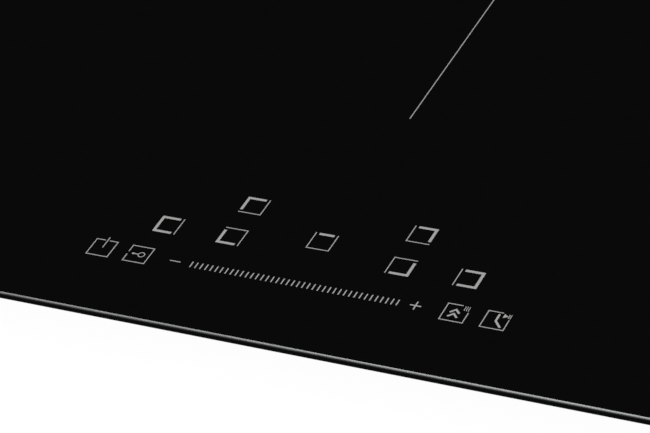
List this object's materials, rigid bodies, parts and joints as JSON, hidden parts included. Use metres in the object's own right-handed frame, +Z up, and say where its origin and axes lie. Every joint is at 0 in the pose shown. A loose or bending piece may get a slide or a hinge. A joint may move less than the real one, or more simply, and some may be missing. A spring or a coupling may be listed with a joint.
{
  "type": "induction cooktop",
  "caption": "Built-in induction cooktop: black glass plate with bevelled edge and printed touch keys over a steel base pan that holds coils, boards and fans.",
  "frame": {"origin": "centre of the glass in plan, at the underside of the base pan", "axes": "+X to the right along the front edge, +Y from the user towards the wall, +Z up through the glass"},
  "size_m": [0.77, 0.52, 0.058],
  "materials": {
    "glass": "polished black glass-ceramic with a ground edge",
    "foam": "closed-cell sealing foam",
    "silicone": "black silicone adhesive",
    "galvanised": "hot-dip galvanised steel sheet",
    "aluminium_sheet": "plain rolled aluminium",
    "zinc_steel": "zinc-plated steel",
    "litz": "enamelled copper litz wire",
    "carrier_plastic": "glass-filled moulding",
    "ferrite": "sintered ferrite",
    "fibre": "ceramic fibre sheet",
    "sensor": "moulded sensor holder",
    "tray_plastic": "black moulding",
    "board": "solder-resist laminate",
    "touch_foam": "conductive foam",
    "display": "moulded light bar",
    "heatsink": "extruded aluminium",
    "package": "epoxy package",
    "capacitor": "boxed film capacitor",
    "copper_coil": "enamelled copper winding",
    "terminal_plastic": "natural polyamide",
    "cover_plastic": "textured black polyamide",
    "gland_plastic": "grey-black polyamide",
    "fan_plastic": "black glass-filled moulding",
    "motor": "steel motor can",
    "ribbon": "grey ribbon cable"
  },
  "bodies": {
    "hob": {"base_pan": "galvanised", "board_carrier_left": "tray_plastic", "board_carrier_right": "tray_plastic", "cable_gland": "gland_plastic", "capacitors_left": "capacitor", "capacitors_right": "capacitor", "clamp_lugs": "zinc_steel", "clamp_screws": "zinc_steel", "coil_carrier_centre": "carrier_plastic", "coil_carrier_front_left": "carrier_plastic", "coil_carrier_front_right": "carrier_plastic", "coil_carrier_rear_left": "carrier_plastic", "coil_carrier_rear_right": "carrier_plastic", "coil_tray_centre": "aluminium_sheet", "coil_tray_left": "aluminium_sheet", "coil_tray_right": "aluminium_sheet", "control_board": "board", "control_tray": "tray_plastic", "display_modules": "display", "edge_seal": "foam", "fan_housing_left": "fan_plastic", "fan_housing_right": "fan_plastic", "fan_lid_left": "fan_plastic", "fan_lid_right": "fan_plastic", "fan_motor_left": "motor", "fan_motor_right": "motor", "ferrite_bars": "ferrite", "filter_board": "board", "filter_capacitors": "capacitor", "filter_choke": "copper_coil", "glass_bond": "silicone", "glass_top": "glass", "heatsink_left": "heatsink", "heatsink_right": "heatsink", "insulation_centre": "fibre", "insulation_left": "fibre", "insulation_right": "fibre", "power_board_left": "board", "power_board_right": "board", "power_switches_left": "package", "power_switches_right": "package", "ribbon_cable": "ribbon", "terminal_block": "terminal_plastic", "terminal_frame": "cover_plastic", "touch_pads": "touch_foam", "tray_pillars": "zinc_steel", "tray_screws": "zinc_steel", "winding_centre": "litz", "winding_front_left": "litz", "winding_front_right": "litz", "winding_rear_left": "litz", "winding_rear_right": "litz", "zone_sensors": "sensor"},
    "fan_wheel_left": {"fan_impeller_left": "fan_plastic"},
    "fan_wheel_right": {"fan_impeller_right": "fan_plastic"},
    "terminal_lid": {"terminal_cover": "cover_plastic"},
    "clamp_front_left": {"clamp_arm_front_left": "zinc_steel"},
    "clamp_front_right": {"clamp_arm_front_right": "zinc_steel"},
    "clamp_rear_left": {"clamp_arm_rear_left": "zinc_steel"},
    "clamp_rear_right": {"clamp_arm_rear_right": "zinc_steel"}
  },
  "joints": [
    {"name": "fan_left_spin", "type": "hinge", "parent": "hob", "child": "fan_wheel_left", "pos_m": [-0.259, 0.17, 0.015], "axis": [0, 0, 1], "continuous": true},
    {"name": "fan_right_spin", "type": "hinge", "parent": "hob", "child": "fan_wheel_right", "pos_m": [0.259, 0.17, 0.015], "axis": [0, 0, 1], "continuous": true},
    {"name": "terminal_cover_hinge", "type": "hinge", "parent": "hob", "child": "terminal_lid", "pos_m": [0.084, 0.24, 0.007], "axis": [-1, 0, 0], "range_deg": [0, 90]},
    {"name": "clamp_front_left_swing", "type": "hinge", "parent": "hob", "child": "clamp_front_left", "pos_m": [-0.3666, -0.15, 0.009], "axis": [0, 0, 1], "range_deg": [0, 90]},
    {"name": "clamp_front_right_swing", "type": "hinge", "parent": "hob", "child": "clamp_front_right", "pos_m": [0.3666, -0.15, 0.009], "axis": [0, 0, -1], "range_deg": [0, 90]},
    {"name": "clamp_rear_left_swing", "type": "hinge", "parent": "hob", "child": "clamp_rear_left", "pos_m": [-0.3666, 0.15, 0.009], "axis": [0, 0, -1], "range_deg": [0, 90]},
    {"name": "clamp_rear_right_swing", "type": "hinge", "parent": "hob", "child": "clamp_rear_right", "pos_m": [0.3666, 0.15, 0.009], "axis": [0, 0, 1], "range_deg": [0, 90]}
  ]
}
